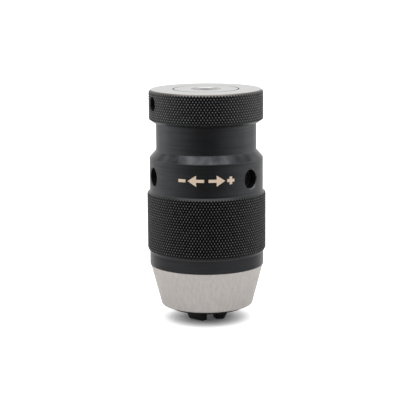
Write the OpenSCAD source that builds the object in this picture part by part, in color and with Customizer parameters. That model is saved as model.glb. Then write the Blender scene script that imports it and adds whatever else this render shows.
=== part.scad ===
// Self-tightening keyless drill chuck, standing on the tips of its three jaws.
// The origin is the centre of the taper's mouth in the rear face, and +Z points out of the taper,
// towards the machine spindle. Everything else lies below the rear face. Sizes are in millimetres.
//
// How it works: the body is held on the machine. The sleeve, with the nose shell and the jaw guide
// fixed in it, turns on the body through a ball thrust bearing. The guide's slots carry the jaws
// round, the jaws' tails carry the spindle screw round, and the screw moves along its thread in the
// body. That drives the jaws down their slanted slots, so they close in or open out together.

/* [Grip sleeve] */
// Diameter over the knurled grip
grip_d = 50; // [46:0.5:60]
// Length of the knurled grip
grip_h = 23.24; // [19:0.5:30]
// Height of the bevelled rim above the grip
grip_rim_h = 1.2; // [0.6:0.1:2]
// Height of the bevel below the grip
grip_bevel_h = 1.6; // [0.6:0.1:2.4]
// Radial step from the grip down to the smooth band above it
band_step = 1.15; // [0.6:0.05:2]
// Height of the smooth band that holds the pin holes
band_h = 13.9; // [12:0.1:20]
// Radial step from the grip down to the smooth band below it
lower_step = 0.9; // [0.4:0.05:1.5]
// Height of the smooth band below the grip
lower_band_h = 5.6; // [3:0.2:8]
// Radial step from the grip down to the neck
neck_step = 3.95; // [3:0.05:5]
// Height of the neck that shows under the rear ring
neck_h = 11.7; // [9:0.1:16]
// Height of the cone between neck and band
neck_cone_h = 3.2; // [1.5:0.1:4]
// Wall of the neck outside the thrust bearing
neck_wall = 1.95; // [1.5:0.05:2.5]
// Wall of the sleeve outside the jaws, measured from the knurl's crests
sleeve_wall = 4.4; // [3.5:0.1:6]
// Wall of the sleeve outside the nose shell's spigot
spigot_cover = 2.2; // [1.6:0.1:3]

/* [Pin holes for spanners] */
// Diameter of the holes in the sleeve
pin_hole_d = 7.8; // [5:0.1:9]
// Distance of the holes' centres below the band's upper edge
pin_hole_drop = 7.3; // [6:0.1:8]
// Number of holes round the sleeve
pin_hole_n = 3; // [1:1:4]
// Direction of the first hole, in degrees from +X
pin_hole_az = -39; // [-180:1:180]
// Metal left between the hole's floor and the bearing chamber
pin_hole_floor = 0.85; // [0.6:0.05:1.5]
// Diameter of the hole in the rear ring
ring_hole_d = 6; // [4:0.1:6.5]
// Depth of the ring's hole
ring_hole_depth = 7.5; // [4:0.5:8]
// Distance of the ring's hole below the rear face
ring_hole_drop = 5.4; // [5:0.1:7.5]
// Direction of the ring's hole, in degrees from +X
ring_hole_az = -159; // [-180:1:180]

/* [Rear ring] */
// Radial step from the grip down to the ring
ring_step = 1.03; // [0.5:0.05:2]
// Height of the ring
ring_h = 13.66; // [12:0.1:18]
// Bevel round the ring's rear face
ring_top_bevel = 0.94; // [0.4:0.05:1.5]
// Height of the bevel round the ring's underside
ring_low_bevel_h = 1.36; // [0.6:0.05:2]
// Width of the bevel round the ring's underside
ring_low_bevel_w = 1.85; // [0.6:0.05:2]
// Depth of the recess that covers the sleeve's rear end
ring_recess_h = 1.36; // [1:0.05:2]
// Bevel on both edges of the joint between ring and body
joint_bevel = 0.22; // [0.1:0.02:0.4]

/* [Taper seat] */
// Large diameter of the short taper
taper_d = 12.065; // [10.094:0.001:15.733]
// Taper on diameter per millimetre of length
taper_rate = 0.04988; // [0.045:0.0001:0.055]
// Depth of the taper bore
taper_depth = 18.5; // [14:0.5:24]
// Bevel round the taper's mouth
taper_bevel = 0.3; // [0.1:0.05:0.6]
// Angle between the drilled tip of the bore and its floor
drill_tip_angle = 31; // [20:1:45]
// Metal between the tip of the taper bore and the screw bore
core_web = 4.3; // [3:0.1:6]

/* [Jaws] */
// Direction of the first jaw, in degrees from +X
jaw_az = -10; // [-60:1:60]
// Smallest tool held
min_tool_d = 1; // [1:0.1:2]
// Largest tool held
max_tool_d = 13; // [10:0.5:14]
// Opening between the jaws as modelled
rest_opening_d = 5.2; // [4.2:0.1:6]
// Angle between the jaws' path and the chuck's axis
jaw_angle = 25; // [22:1:30]
// Width of a jaw
jaw_w = 7.2; // [5:0.1:8.6]
// Width of the gripping land along a jaw's inner edge
jaw_land = 0.8; // [0.4:0.1:1.2]
// Length of the gripping land
grip_land_h = 20; // [14:0.5:22]
// Length of jaw that stands out of the guide
jaw_reach = 5.05; // [3:0.05:8]
// Bevel round a jaw's tip
jaw_tip_bevel = 0.5; // [0.2:0.1:1]
// Radius of a jaw's inner face above the land
jaw_back_r = 5; // [4.5:0.1:6]
// How far the tongues stand out of a jaw's sides
tongue_d = 1.1; // [0.6:0.1:1.3]
// Thickness of the tongues, measured across the axis
tongue_t = 2.2; // [1.4:0.1:3]
// Distance of the tongues inside a jaw's slanted back
tongue_inset = 2.6; // [1.5:0.1:3.5]
// Distance of the tongues' lower ends above the tip
tongue_drop = 9.4; // [8:0.2:12]

/* [Spindle screw] */
// Diameter of the screw's stem
screw_d = 16; // [12:0.5:18]
// Height of the head that holds the jaws' tails
head_h = 9; // [8:0.5:12]
// Thickness of the head's lower ledge, under the tails
ledge_h = 2.6; // [2:0.1:3.5]
// Height of the tail's wide end
tail_h = 3.4; // [2.4:0.1:4]
// Width of the tail's narrow neck
tail_neck_w = 4; // [2.8:0.1:5]

/* [Nose and guide] */
// Height of the conical nose
nose_h = 17.45; // [15:0.25:22]
// Radial step from the lower band in to the nose
nose_step = 0.2; // [0.1:0.05:0.5]
// Radial draw-in of the nose from its top to its end
nose_draw = 4.5; // [3:0.1:5.5]
// Bevel round the end of the nose
nose_bevel = 0.35; // [0.2:0.05:1]
// Wall of the nose shell at its end
nose_wall = 2.4; // [1.8:0.1:3]
// Width of the lip that carries the guide
nose_lip_w = 0.7; // [0.5:0.1:1.5]
// Height of that lip
nose_lip_h = 1.8; // [1.2:0.1:3]
// Height of the spigot that fits in the sleeve
spigot_h = 8; // [6:0.5:10]
// Wall of that spigot
spigot_wall = 1.8; // [1.4:0.1:2.4]
// Metal of the guide outside its slots
slot_wall = 1.3; // [1:0.1:2]
// How far the guide's boss stands out of the nose
boss_h = 1.4; // [0.5:0.1:2]
// Radius of the guide's central bore
guide_bore_r = 7; // [6.6:0.1:8]
// Diameter of the dowels that lock the guide in the shell
dowel_d = 2.5; // [1.5:0.1:2.8]
// Length of those dowels
dowel_h = 6; // [4:0.5:8]

/* [Thrust bearing and bushes] */
// Diameter of the balls
ball_d = 3.175; // [2.5:0.025:3.6]
// Number of balls
ball_n = 18; // [12:1:20]
// Radial room beside the balls, in the bearing's chamber
ball_side_room = 0.8; // [0.7:0.05:1.2]
// Thickness of a race
race_t = 1.8; // [1.4:0.1:2.4]
// Depth of a race's groove
groove_depth = 0.45; // [0.3:0.05:0.6]
// Thickness of the ball cage
cage_t = 1.4; // [1:0.1:1.6]
// Wall of the neck bush
bush_wall = 1.5; // [1:0.1:2]
// Length of the neck bush
neck_bush_h = 5.2; // [4:0.1:7]
// Length of the front bush
front_bush_h = 8.2; // [5:0.2:9]
// Height of the seal at the sleeve's rear end
seal_h = 2; // [1.5:0.1:2.5]
// Radial step from the bearing journal down to the ring's seat
seat_step = 0.6; // [0.4:0.1:1]

/* [Clearances] */
// Radial gap of a part that turns or slides in another
run_gap = 0.03; // [0.01:0.01:0.1]
// Gap on each side of a jaw in its slots
slide_gap = 0.05; // [0.03:0.01:0.1]
// Gap between parts that only pass each other
free_gap = 0.3; // [0.3:0.05:0.6]
// Gap left between the parts of the drive at the ends of their travel
stop_gap = 0.6; // [0.4:0.1:1]

/* [Hidden] */
$fn = 96;
eps = 0.01;
jaw_n = 3;
jaw_step = 360 / jaw_n;
wedge_half_angle = 180 / jaw_n;

// Outer radii.
grip_r = grip_d / 2;
band_r = grip_r - band_step;
lower_r = grip_r - lower_step;
neck_r = grip_r - neck_step;
ring_r = grip_r - ring_step;
nose_top_r = lower_r - nose_step;
nose_end_r = nose_top_r - nose_draw;

// Heights of the outer edges, from the rear face down.
z_ring_end = -ring_h;
z_neck_end = z_ring_end - neck_h;
z_band_top = z_neck_end - neck_cone_h;
z_band_end = z_band_top - band_h;
z_grip_top = z_band_end - grip_rim_h;
z_grip_end = z_grip_top - grip_h;
z_lower_top = z_grip_end - grip_bevel_h;
z_nose_top = z_lower_top - lower_band_h;
z_nose_end = z_nose_top - nose_h;
z_boss_end = z_nose_end - boss_h;
z_tip = z_boss_end - jaw_reach;

// Thrust bearing: it fills the chamber in the neck, between the sleeve's shoulder and the body's flange.
ball_r = ball_d / 2;
groove_r = ball_r + run_gap;
bearing_r = neck_r - neck_wall;
journal_r = bearing_r - ball_d - 2 * ball_side_room;
pitch_r = (bearing_r + journal_r) / 2;
seat_r = journal_r - seat_step;
body_r = bearing_r - free_gap;
recess_r = neck_r + free_gap;
z_recess = z_ring_end + ring_recess_h;
z_sleeve_top = z_recess - free_gap;
z_seal_top = z_sleeve_top - 0.2;
z_neck_bush_top = z_seal_top - seal_h;
z_shoulder = z_neck_bush_top - neck_bush_h;
z_ball = z_shoulder - race_t + groove_depth - ball_r;
z_lower_race_top = z_ball - ball_r + groove_depth;
z_flange = z_lower_race_top - race_t;
bush_ri = journal_r + run_gap;
bush_ro = bush_ri + bush_wall;

// Pin holes in the band.
z_pin_hole = z_band_top - pin_hole_drop;
pin_hole_bottom_r = bearing_r + pin_hole_floor;
z_step = z_pin_hole - pin_hole_d / 2 - 1.5;

// Nose shell and jaw guide. The guide narrows where its slots have come far enough in.
cavity_r = grip_r - sleeve_wall;
spigot_ro = lower_r - spigot_cover;
spigot_ri = spigot_ro - spigot_wall;
guide_r = nose_end_r - nose_wall;
boss_r = guide_r - nose_lip_w;
z_spigot_top = z_nose_top + spigot_h;
z_guide_top = z_nose_top;
z_guide_seat = z_guide_top - (spigot_ri - guide_r) / tan(jaw_angle);
z_lip = z_nose_end + nose_lip_h;
dowel_pcr = (spigot_ri + guide_r) / 2;

// Jaw travel, and the line of a jaw's slanted back: its radius at any height.
open_r = (max_tool_d - rest_opening_d) / 2;
close_r = (rest_opening_d - min_tool_d) / 2;
open_z = open_r / tan(jaw_angle);
close_z = close_r / tan(jaw_angle);
// The tail and the tongues clear the nose shell when the jaws are fully open.
tongue_edge = jaw_w / 2 + tongue_d;
tail_r = sqrt(pow(spigot_ri - free_gap, 2) - pow(tongue_edge, 2)) - open_r;
function back_r(z) = spigot_ri - slot_wall + (z - z_guide_top) * tan(jaw_angle);
function back_z(r) = z_guide_top + (r - spigot_ri + slot_wall) / tan(jaw_angle);
slant_gap = slide_gap / cos(jaw_angle);

// Spindle screw: its head clears the guide when closed, and the body when open.
z_head_low = z_guide_top + stop_gap + close_z;
z_head_top = z_head_low + head_h;
head_r = spigot_ri - stop_gap;
z_body_end = z_head_top + open_z + 2.5 * stop_gap;
z_taper_tip = -taper_depth - (taper_d - taper_rate * taper_depth) / 2 * tan(drill_tip_angle);
z_screw_bore_top = z_taper_tip - core_web;
z_stem_top = z_screw_bore_top - stop_gap - open_z;
screw_r = screw_d / 2;
z_ledge_top = z_head_low + ledge_h;
z_tail_top = z_ledge_top + slide_gap + tail_h;
z_jaw_top = z_head_low - slide_gap;
land_r = rest_opening_d / 2;

black = "#222326";
ground = "#c9c7c4";
steel = "#8d8f92";

// A turned solid from its half section, given as [radius, height] points.
module turned(section) {
    rotate_extrude() polygon(section);
}

// A plain ring between two radii and two heights.
module ring(ro, ri, z_top, z_low) {
    turned([[ri, z_low], [ro, z_low], [ro, z_top], [ri, z_top]]);
}

// A plate standing in the plane of a jaw, from its outline in [radius, height] points.
module plate(w, outline) {
    rotate([90, 0, 0]) linear_extrude(w, center = true) polygon(outline);
}

// A round hole from radius r_in outwards, at azimuth az.
module radial_hole(d, r_in, r_out, z, az) {
    rotate([0, 0, az]) translate([r_in, 0, z]) rotate([0, 90, 0]) cylinder(d = d, h = r_out - r_in);
}

// Copies round the axis, one for each jaw.
module each_jaw() {
    for (i = [0:jaw_n - 1]) rotate([0, 0, jaw_az + i * jaw_step]) children();
}

module chuck_body() {
    small_r = (taper_d - taper_rate * taper_depth) / 2;
    bore_r = screw_r + slide_gap;
    color(ground) turned([
        [taper_d / 2 + taper_bevel, 0],
        [seat_r - joint_bevel, 0],
        [seat_r, -joint_bevel],
        [seat_r, z_recess],
        [journal_r, z_recess],
        [journal_r, z_flange],
        [body_r, z_flange],
        [body_r, z_body_end + 0.6],
        [body_r - 0.6, z_body_end],
        [bore_r + 0.8, z_body_end],
        [bore_r, z_body_end + 0.8],
        [bore_r, z_screw_bore_top],
        [0, z_screw_bore_top],
        [0, z_taper_tip],
        [small_r, -taper_depth],
        [taper_d / 2 - taper_rate * taper_bevel / 2, -taper_bevel]
    ]);
}

module hood_ring() {
    color(black) difference() {
        turned([
            [seat_r, -joint_bevel],
            [seat_r + joint_bevel, 0],
            [ring_r - ring_top_bevel, 0],
            [ring_r, -ring_top_bevel],
            [ring_r, z_ring_end + ring_low_bevel_h],
            [ring_r - ring_low_bevel_w, z_ring_end],
            [recess_r, z_ring_end],
            [recess_r, z_recess],
            [seat_r, z_recess]
        ]);
        radial_hole(ring_hole_d, ring_r - ring_hole_depth, ring_r + 1, -ring_hole_drop, ring_hole_az);
    }
}

// The track that the balls run in.
module ball_groove() {
    rotate_extrude() translate([pitch_r, z_ball]) circle(groove_r);
}

module lower_race() {
    color(steel) difference() {
        ring(bearing_r - free_gap, journal_r, z_lower_race_top, z_flange);
        ball_groove();
    }
}

module upper_race() {
    color(steel) difference() {
        ring(bearing_r, journal_r + free_gap, z_shoulder, z_shoulder - race_t);
        ball_groove();
    }
}

module at_ball(i) {
    rotate([0, 0, i * 360 / ball_n]) translate([pitch_r, 0, z_ball]) children();
}

module ball_cage() {
    color("goldenrod") difference() {
        ring(bearing_r - free_gap, journal_r + free_gap, z_ball + cage_t / 2, z_ball - cage_t / 2);
        for (i = [1:ball_n]) at_ball(i) cylinder(r = groove_r, h = ball_d, center = true);
    }
}

module ball(i) {
    color("gainsboro") at_ball(i) sphere(d = ball_d);
}

module neck_bush() {
    color("peru") ring(bush_ro, bush_ri, z_neck_bush_top, z_shoulder);
}

// A lip seal: a square outer ring with a thin lip that reaches in to the journal.
module neck_seal() {
    lip_t = seal_h / 3;
    color("dimgray") turned([
        [bush_ro, z_neck_bush_top],
        [bush_ro, z_seal_top],
        [bush_ri, z_seal_top],
        [bush_ri, z_seal_top - lip_t],
        [bush_ri + bush_wall / 2, z_seal_top - lip_t],
        [bush_ri + bush_wall / 2, z_neck_bush_top]
    ]);
}

module front_bush() {
    color("peru") ring(cavity_r, body_r + run_gap, z_step, z_step - front_bush_h);
}

module sleeve() {
    color(black) difference() {
        turned([
            [bush_ro, z_sleeve_top],
            [neck_r - 0.3, z_sleeve_top],
            [neck_r, z_sleeve_top - 0.3],
            [neck_r, z_neck_end],
            [band_r, z_band_top],
            [band_r, z_band_end],
            [grip_r, z_grip_top],
            [grip_r, z_grip_end],
            [lower_r, z_lower_top],
            [lower_r, z_nose_top],
            [spigot_ro, z_nose_top],
            [spigot_ro, z_spigot_top],
            [cavity_r, z_spigot_top],
            [cavity_r, z_step],
            [bearing_r, z_step],
            [bearing_r, z_shoulder],
            [bush_ro, z_shoulder]
        ]);
        for (i = [0:pin_hole_n - 1])
            radial_hole(pin_hole_d, pin_hole_bottom_r, grip_r, z_pin_hole, pin_hole_az + i * 360 / pin_hole_n);
    }
}

// A dowel stands half in the guide's flange and half in the shell's shoulder, between two jaws.
module at_dowel(i) {
    rotate([0, 0, jaw_az + (i - 0.5) * jaw_step])
        translate([dowel_pcr, 0, z_guide_seat - dowel_h / 2]) children();
}

module dowels() {
    for (i = [1:jaw_n]) at_dowel(i) cylinder(d = dowel_d, h = dowel_h);
}

module guide_dowel(i) {
    color(steel) at_dowel(i) cylinder(d = dowel_d, h = dowel_h);
}

module nose_shell() {
    color("#b9b4ae") difference() {
        turned([
            [spigot_ri, z_spigot_top],
            [spigot_ro, z_spigot_top],
            [spigot_ro, z_nose_top],
            [nose_top_r, z_nose_top],
            [nose_end_r, z_nose_end + nose_bevel],
            [nose_end_r - nose_bevel, z_nose_end],
            [boss_r, z_nose_end],
            [boss_r, z_lip],
            [guide_r, z_lip],
            [guide_r, z_guide_seat],
            [spigot_ri, z_guide_seat]
        ]);
        dowels();
    }
}

// The strip that a jaw's tongues and their grooves follow, parallel to the slanted back.
function tongue_strip(z0, z1, gap) = [
    [back_r(z0) - tongue_inset - tongue_t - gap, z0],
    [back_r(z0) - tongue_inset + gap, z0],
    [back_r(z1) - tongue_inset + gap, z1],
    [back_r(z1) - tongue_inset - tongue_t - gap, z1]
];

// What a jaw needs cut in the guide: its slot, and the grooves for its tongues.
module jaw_slot() {
    z0 = z_boss_end - 1;
    z1 = z_guide_top + 1;
    plate(jaw_w + 2 * slide_gap, [
        [0, z0],
        [back_r(z0) + slant_gap, z0],
        [back_r(z1) + slant_gap, z1],
        [0, z1]
    ]);
    plate(2 * (tongue_edge + slide_gap), tongue_strip(z0, z1, slant_gap));
}

module jaw_guide() {
    color(steel) difference() {
        turned([
            [guide_bore_r, z_guide_top],
            [spigot_ri, z_guide_top],
            [spigot_ri, z_guide_seat],
            [guide_r, z_guide_seat],
            [guide_r, z_lip],
            [boss_r, z_lip],
            [boss_r, z_boss_end + 0.4],
            [boss_r - 0.4, z_boss_end],
            [guide_bore_r + 0.8, z_boss_end],
            [guide_bore_r, z_boss_end + 0.8]
        ]);
        each_jaw() jaw_slot();
        dowels();
    }
}

// A rectangle in a jaw's plane.
function tail_box(r0, r1, z0, z1) = [[r0, z0], [r1, z0], [r1, z1], [r0, z1]];

module spindle_screw() {
    slot_r = head_r + 1;
    color(steel) difference() {
        turned([
            [0, z_head_low],
            [head_r - 0.5, z_head_low],
            [head_r, z_head_low + 0.5],
            [head_r, z_head_top - 0.5],
            [head_r - 0.5, z_head_top],
            [screw_r, z_head_top],
            [screw_r, z_stem_top - 0.8],
            [screw_r - 0.8, z_stem_top],
            [0, z_stem_top]
        ]);
        each_jaw() {
            plate(tail_neck_w + 2 * slide_gap, tail_box(0, slot_r, z_head_low - 1, z_ledge_top + eps));
            plate(jaw_w + 2 * slide_gap, tail_box(0, slot_r, z_ledge_top, z_tail_top + slide_gap));
        }
    }
}

// A jaw's side view: the land, the relieved inner face, the straight back and the slanted one.
function jaw_outline() = [
    [land_r + jaw_tip_bevel / 2, z_tip],
    [back_r(z_tip) - jaw_tip_bevel, z_tip],
    [back_r(z_tip + jaw_tip_bevel), z_tip + jaw_tip_bevel],
    [tail_r, back_z(tail_r)],
    [tail_r, z_jaw_top],
    [jaw_back_r, z_jaw_top],
    [jaw_back_r, z_tip + grip_land_h + (jaw_back_r - land_r) * 1.7],
    [land_r, z_tip + grip_land_h],
    [land_r, z_tip + jaw_tip_bevel]
];

// A jaw's plan: a wedge that ends in the gripping land, so that three of them can meet.
module jaw_wedge() {
    half_land = jaw_land / 2;
    run = jaw_w / tan(wedge_half_angle);
    half_w = half_land + run * tan(wedge_half_angle);
    translate([0, 0, z_tip - 1]) linear_extrude(z_jaw_top - z_tip + 2) polygon([
        [land_r, -half_land],
        [land_r + run, -half_w],
        [cavity_r, -half_w],
        [cavity_r, half_w],
        [land_r + run, half_w],
        [land_r, half_land]
    ]);
}

module jaw(i) {
    z_tongue = z_tip + tongue_drop;
    color("#2c2d30") rotate([0, 0, jaw_az + (i - 1) * jaw_step]) {
        intersection() {
            plate(jaw_w, jaw_outline());
            jaw_wedge();
        }
        intersection() {
            plate(2 * tongue_edge, jaw_outline());
            plate(jaw_w + 4 * tongue_d, tongue_strip(z_tongue, z_jaw_top, 0));
        }
        plate(tail_neck_w, tail_box(jaw_back_r, tail_r, z_jaw_top - eps, z_ledge_top + slide_gap + eps));
        plate(jaw_w, tail_box(jaw_back_r, tail_r, z_ledge_top + slide_gap, z_tail_top));
    }
}

chuck_body();
hood_ring();
lower_race();
ball_cage();
for (i = [1:ball_n]) ball(i);
upper_race();
neck_bush();
neck_seal();
front_bush();
sleeve();
nose_shell();
jaw_guide();
for (i = [1:jaw_n]) guide_dowel(i);
spindle_screw();
for (i = [1:jaw_n]) jaw(i);
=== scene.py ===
"""Visual model of a keyless drill chuck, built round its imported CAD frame.

Each sub-assembly is a class that holds its sizes, builds its meshes and dresses them. The knurling is
cut with a tool whose teeth Geometry Nodes lay out, and the turned pieces are revolved from their half
sections. All sizes are in millimetres until a mesh is made, and places come from the frame's boxes.
"""

from __future__ import annotations

import logging
import math
from dataclasses import dataclass
from enum import Enum
from typing import Iterable, Sequence

import bmesh
import bpy
import numpy as np
from mathutils import Matrix, Vector


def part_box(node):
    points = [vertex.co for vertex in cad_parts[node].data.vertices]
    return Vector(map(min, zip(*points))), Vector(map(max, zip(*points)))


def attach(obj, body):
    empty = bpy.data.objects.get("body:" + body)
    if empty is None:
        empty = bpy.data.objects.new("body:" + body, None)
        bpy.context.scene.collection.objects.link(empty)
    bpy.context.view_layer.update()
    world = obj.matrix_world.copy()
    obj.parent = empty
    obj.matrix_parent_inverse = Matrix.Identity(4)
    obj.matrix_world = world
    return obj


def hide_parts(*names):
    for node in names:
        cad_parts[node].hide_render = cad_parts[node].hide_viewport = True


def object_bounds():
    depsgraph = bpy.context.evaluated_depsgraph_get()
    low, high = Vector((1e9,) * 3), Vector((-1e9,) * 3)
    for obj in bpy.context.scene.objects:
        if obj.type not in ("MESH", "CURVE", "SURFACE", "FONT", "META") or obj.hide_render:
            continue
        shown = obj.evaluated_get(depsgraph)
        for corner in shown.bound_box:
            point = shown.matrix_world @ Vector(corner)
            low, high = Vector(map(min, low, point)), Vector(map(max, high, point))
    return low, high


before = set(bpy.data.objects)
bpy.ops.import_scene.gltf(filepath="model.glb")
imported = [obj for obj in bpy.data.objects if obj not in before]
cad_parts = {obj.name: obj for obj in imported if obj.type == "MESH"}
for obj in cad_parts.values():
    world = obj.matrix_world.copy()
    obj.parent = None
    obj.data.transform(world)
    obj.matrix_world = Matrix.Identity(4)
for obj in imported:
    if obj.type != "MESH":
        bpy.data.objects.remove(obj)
cad_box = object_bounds()

LOG = logging.getLogger("chuck")
MM = 0.001
SEGMENTS = 360
DRILL_SEGMENTS = 96
SLACK = 0.1
CLOUD_SCALE = 190.0
CLOUD_SHARE = 0.6
PATCH_SCALE = 420.0
SLOW_ROUND = 0.04
SLOW_ALONG = 0.03
GRAIN_SCALE = 300.0
EASE_WELD = 0.002
EASE_FLAT = 0.4
EASE_SHARP = 38.0
EASE_SHADE = 32.0
Point = tuple[float, float]
Socket = bpy.types.NodeSocket


class Part(str, Enum):
    """The CAD bodies that pieces ride on."""

    BODY = "body"
    SLEEVE = "sleeve_group"


class Slot(str, Enum):
    """The record's material slots."""

    BODY = "body_steel"
    RING = "black_ring"
    SLEEVE = "black_sleeve"
    NOSE = "satin_nose"
    GUIDE = "guide_steel"
    JAW = "jaw_steel"


class Lay(str, Enum):
    """The direction that a machined surface's marks run in."""

    ROUND = "round"
    FACE = "face"
    ALONG = "along"
    NONE = "none"


# ---- Finishes


class Graph:
    """A thin helper that adds and links the nodes of one node tree."""

    def __init__(self, tree: bpy.types.NodeTree) -> None:
        """Keep the tree.

        Args:
            tree: The node tree to add to.
        """
        self.tree = tree

    def add(self, kind: str, **settings: object) -> bpy.types.Node:
        """Add a node and set its properties.

        Args:
            kind: The node's type name.
            settings: Property names and their values.

        Returns:
            The new node.
        """
        node = self.tree.nodes.new(kind)
        for name, value in settings.items():
            setattr(node, name, value)
        return node

    def feed(self, node: bpy.types.Node, **inputs: object) -> None:
        """Set or link a node's inputs by name, with underscores for spaces.

        Args:
            node: The node to feed.
            inputs: Socket names, each with a value or an output socket.
        """
        for name, value in inputs.items():
            self.put(node.inputs[name.replace("_", " ")], value)

    def put(self, socket: Socket, value: object) -> None:
        """Link an output to a socket, or set the socket's own value.

        Args:
            socket: The input socket.
            value: An output socket or a plain value.
        """
        if isinstance(value, Socket):
            self.tree.links.new(value, socket)
        else:
            socket.default_value = value

    def math(self, operation: str, first: object, second: object = 0.0) -> Socket:
        """Add a math node.

        Args:
            operation: The math operation's name.
            first: The first operand.
            second: The second operand.

        Returns:
            The node's output.
        """
        node = self.add("ShaderNodeMath", operation=operation)
        self.put(node.inputs[0], first)
        self.put(node.inputs[1], second)
        return node.outputs[0]

    def vector(self, x: object, y: object, z: object) -> Socket:
        """Join three values into a vector.

        Args:
            x: The first part, a value or an output.
            y: The second part.
            z: The third part.

        Returns:
            The vector.
        """
        node = self.add("ShaderNodeCombineXYZ")
        for socket, value in zip(node.inputs, (x, y, z)):
            self.put(socket, value)
        return node.outputs[0]

    def reach(self, where: Socket) -> Socket:
        """Measure how far a place is from the Z axis.

        Args:
            where: The object coordinates.

        Returns:
            The distance.
        """
        flat = self.add("ShaderNodeVectorMath", operation="MULTIPLY")
        self.put(flat.inputs[0], where)
        flat.inputs[1].default_value = (1.0, 1.0, 0.0)
        length = self.add("ShaderNodeVectorMath", operation="LENGTH")
        self.put(length.inputs[0], flat.outputs[0])
        return length.outputs["Value"]

    def noise(self, where: Socket, scale: float, detail: float = 2.0) -> Socket:
        """Add a noise texture.

        Args:
            where: Its coordinates.
            scale: Cycles per metre.
            detail: Octaves.

        Returns:
            The noise factor.
        """
        node = self.add("ShaderNodeTexNoise")
        self.feed(node, Vector=where, Scale=scale, Detail=detail)
        return node.outputs[0]


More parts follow.
